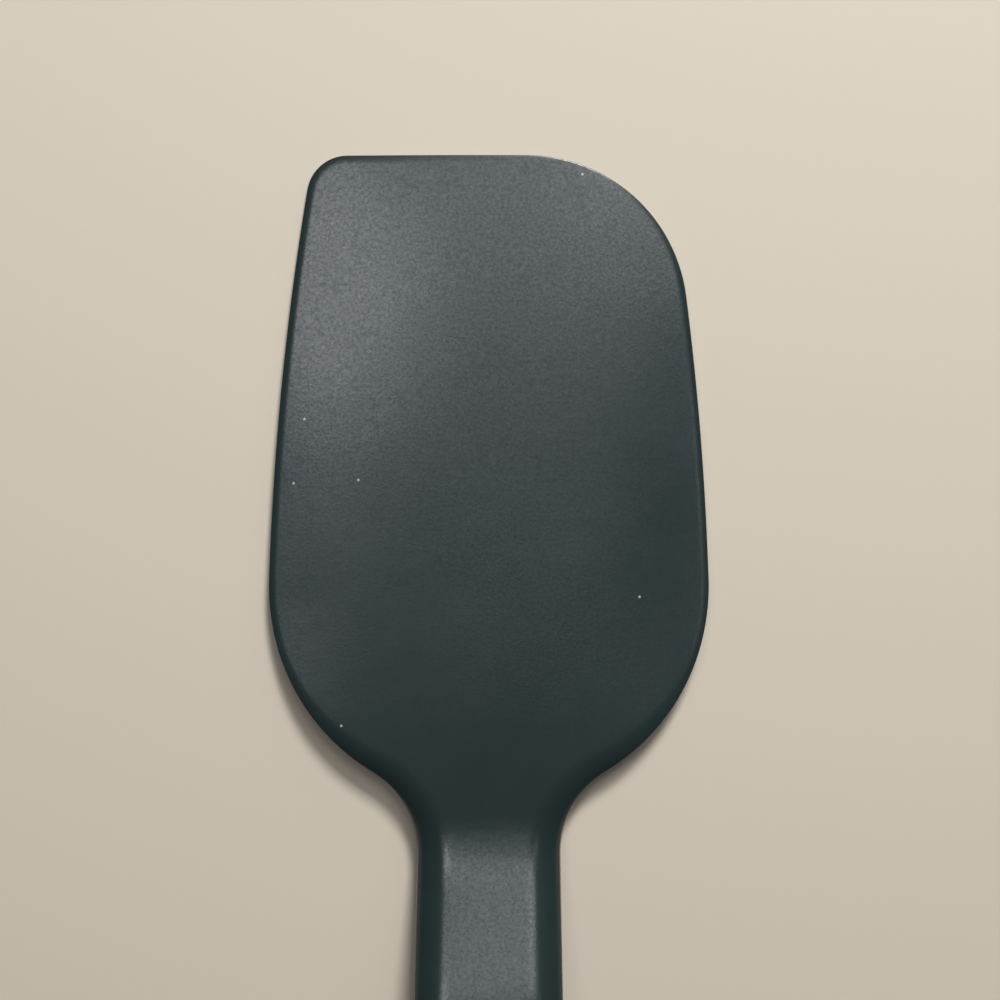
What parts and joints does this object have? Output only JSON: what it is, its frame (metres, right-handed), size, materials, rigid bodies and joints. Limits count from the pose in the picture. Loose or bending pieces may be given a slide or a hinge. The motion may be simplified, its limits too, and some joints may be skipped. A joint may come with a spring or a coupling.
{
  "type": "kitchen scraper",
  "caption": "Silicone kitchen scraper: thin flexible blade with a square and a rounded corner, flat-faced handle with a hanging slot, moulded over a stiff nylon core.",
  "frame": {"origin": "midway along the length, on the centre line, on the flat back that the scraper lies on", "axes": "+Y from the handle's butt to the blade's tip, +X to the right with the face up, so the round corner is at +X, +Z out of the face"},
  "size_m": [0.0576, 0.26, 0.013],
  "materials": {
    "silicone": "matte moulded silicone, dark slate",
    "nylon": "moulded glass-filled nylon, near black"
  },
  "bodies": {
    "root": {"silicone_body": "silicone", "nylon_core": "nylon"}
  },
  "joints": []
}
